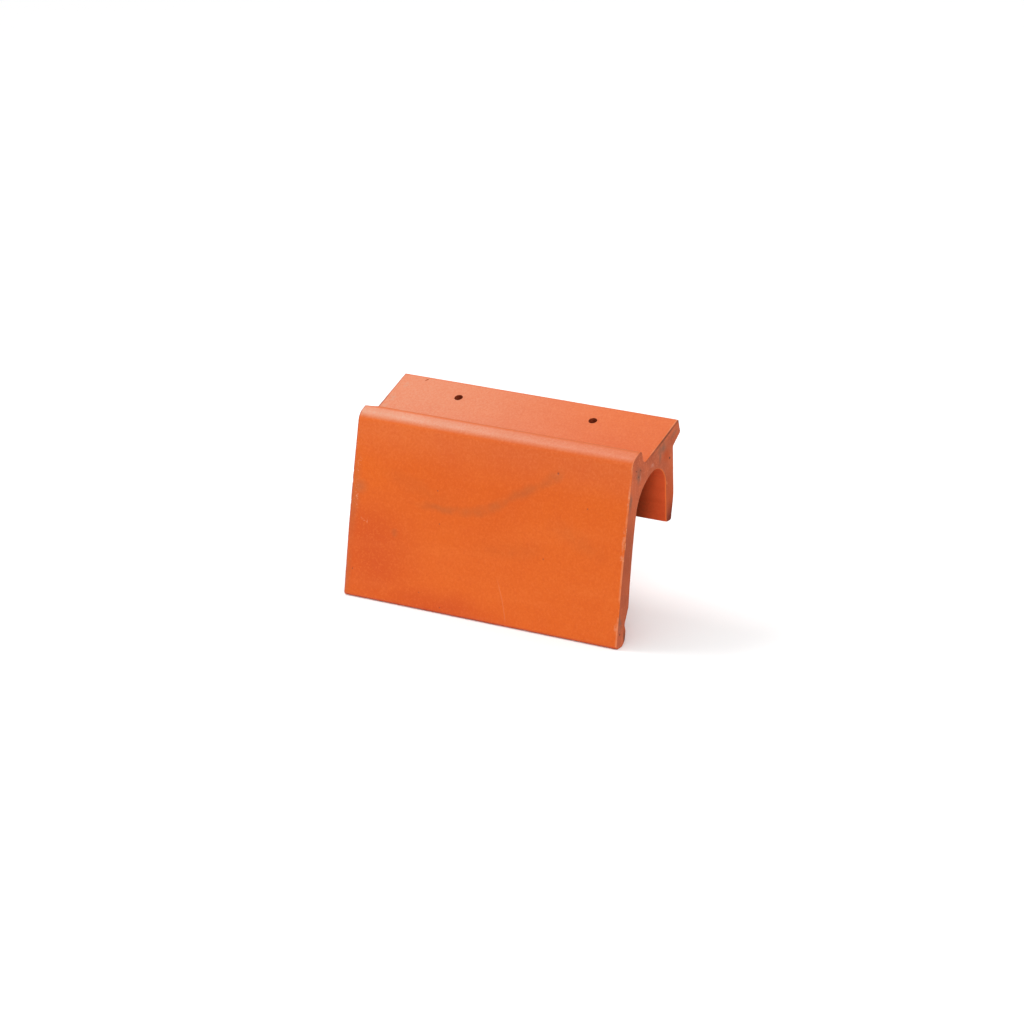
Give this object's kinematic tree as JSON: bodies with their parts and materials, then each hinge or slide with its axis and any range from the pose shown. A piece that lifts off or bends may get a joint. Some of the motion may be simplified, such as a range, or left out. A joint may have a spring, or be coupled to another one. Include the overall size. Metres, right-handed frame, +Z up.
{
  "type": "clay roof edge tile",
  "caption": "Fired clay roof edge tile: tall front face, rounded upstand, sloping flange with nail holes and a short back leg, with an open arch between the legs.",
  "frame": {"origin": "middle of the flat outer face of the back leg, where it bears on the board", "axes": "+X along the tile, +Y out of the back leg's face to the back, +Z up as the tile is fixed"},
  "size_m": [0.3, 0.1154, 0.1866],
  "materials": {
    "fired_clay": "matt, smooth engobed face, wire-cut ends"
  },
  "bodies": {
    "root": {"edge_tile": "fired_clay"}
  },
  "joints": []
}
